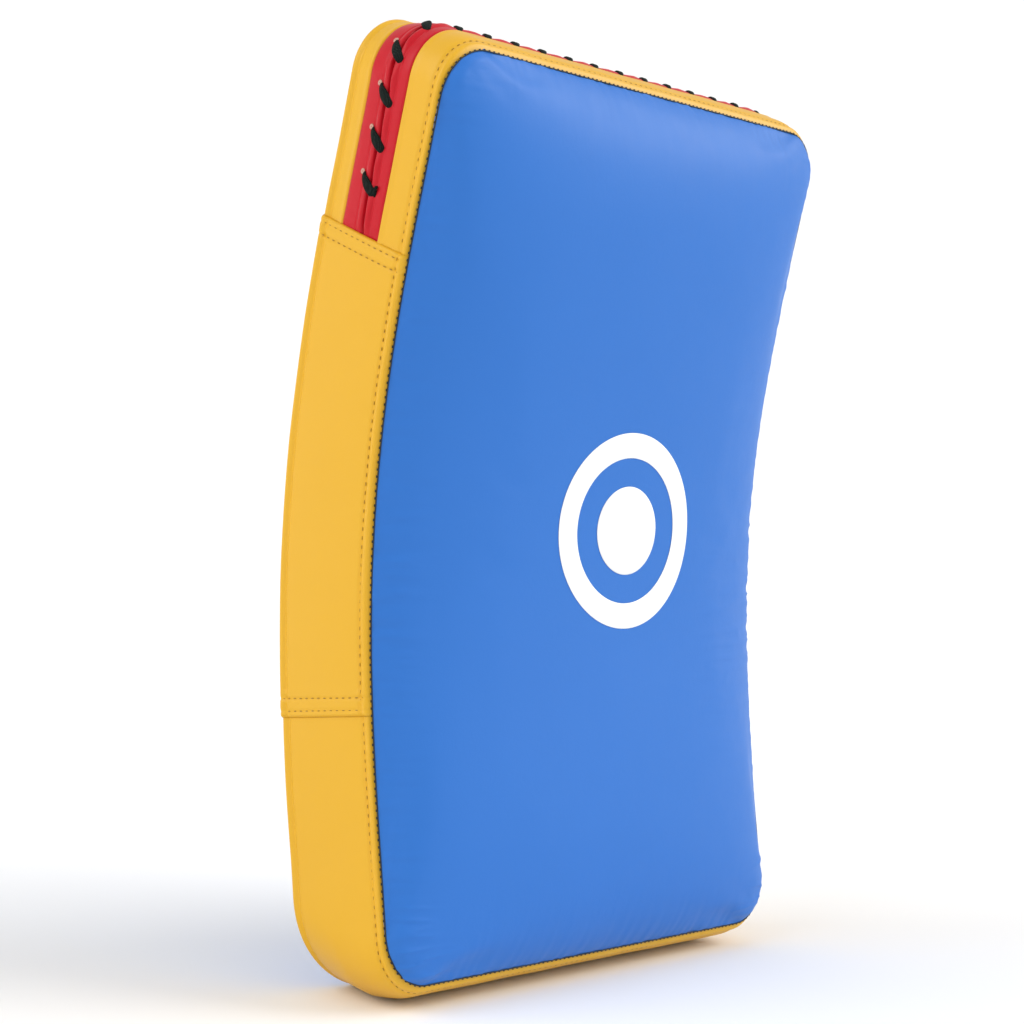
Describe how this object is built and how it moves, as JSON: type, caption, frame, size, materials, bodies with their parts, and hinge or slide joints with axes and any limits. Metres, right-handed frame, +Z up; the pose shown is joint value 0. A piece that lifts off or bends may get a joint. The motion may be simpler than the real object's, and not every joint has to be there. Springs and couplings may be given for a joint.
{
  "type": "kick shield",
  "caption": "Curved foam kick shield in a sewn cover with a laced top slit, a bullseye target, two arm straps and a padded hand grip.",
  "frame": {"origin": "on the floor under the middle of the part's box", "axes": "+Z up along the shield's chord, struck face towards -Y, arm straps towards +Y, +X to the right as seen from the front"},
  "size_m": [0.411, 0.2056, 0.611],
  "materials": {
    "blue_leather": "satin pebbled polyurethane leather",
    "yellow_leather": "satin pebbled polyurethane leather",
    "red_leather": "satin pebbled polyurethane leather",
    "black_leather": "matte pebbled polyurethane leather",
    "white_print": "matte printed film",
    "lace_cord": "flat braided cord",
    "webbing": "ribbed woven webbing",
    "soft_foam": "open-cell sponge",
    "white_foam": "closed-cell expanded polyethylene foam",
    "firm_foam": "dense closed-cell foam board"
  },
  "bodies": {
    "root": {"front_panel": "blue_leather", "target_ring": "white_print", "target_disc": "white_print", "back_panel": "blue_leather", "foam_front": "soft_foam", "foam_middle": "white_foam", "foam_back_board": "firm_foam", "gusset_bottom": "yellow_leather", "gusset_side_left": "yellow_leather", "gusset_side_right": "yellow_leather", "gusset_top_front": "yellow_leather", "lacing_flap_front": "red_leather", "lacing_flap_back": "red_leather", "gusset_top_back": "yellow_leather", "lace": "lace_cord", "lace_knot_right": "lace_cord", "lace_knot_left": "lace_cord", "arm_strap_lower_end_left": "black_leather", "arm_strap_lower_end_right": "black_leather", "arm_strap_upper_end_left": "black_leather", "arm_strap_upper_end_right": "black_leather", "grip_end_left": "webbing", "grip_end_right": "webbing"},
    "lower_strap": {"arm_strap_lower": "black_leather", "arm_pad_lower": "black_leather"},
    "upper_strap": {"arm_strap_upper": "black_leather", "arm_pad_upper": "black_leather"},
    "grip": {"grip_webbing": "webbing", "grip_sleeve": "black_leather"}
  },
  "joints": [
    {"name": "lower_strap_swing", "type": "hinge", "parent": "root", "child": "lower_strap", "pos_m": [0, 0.03021, 0.16019], "axis": [1, 0, 0], "range_deg": [-20, 20], "stiffness_Nm_per_rad": 0.5},
    {"name": "upper_strap_swing", "type": "hinge", "parent": "root", "child": "upper_strap", "pos_m": [0, 0.04123, 0.31317], "axis": [1, 0, 0], "range_deg": [-20, 20], "stiffness_Nm_per_rad": 0.5},
    {"name": "grip_swing", "type": "hinge", "parent": "root", "child": "grip", "pos_m": [0, 0.02794, 0.46513], "axis": [1, 0, 0], "range_deg": [-25, 25], "stiffness_Nm_per_rad": 0.5}
  ]
}
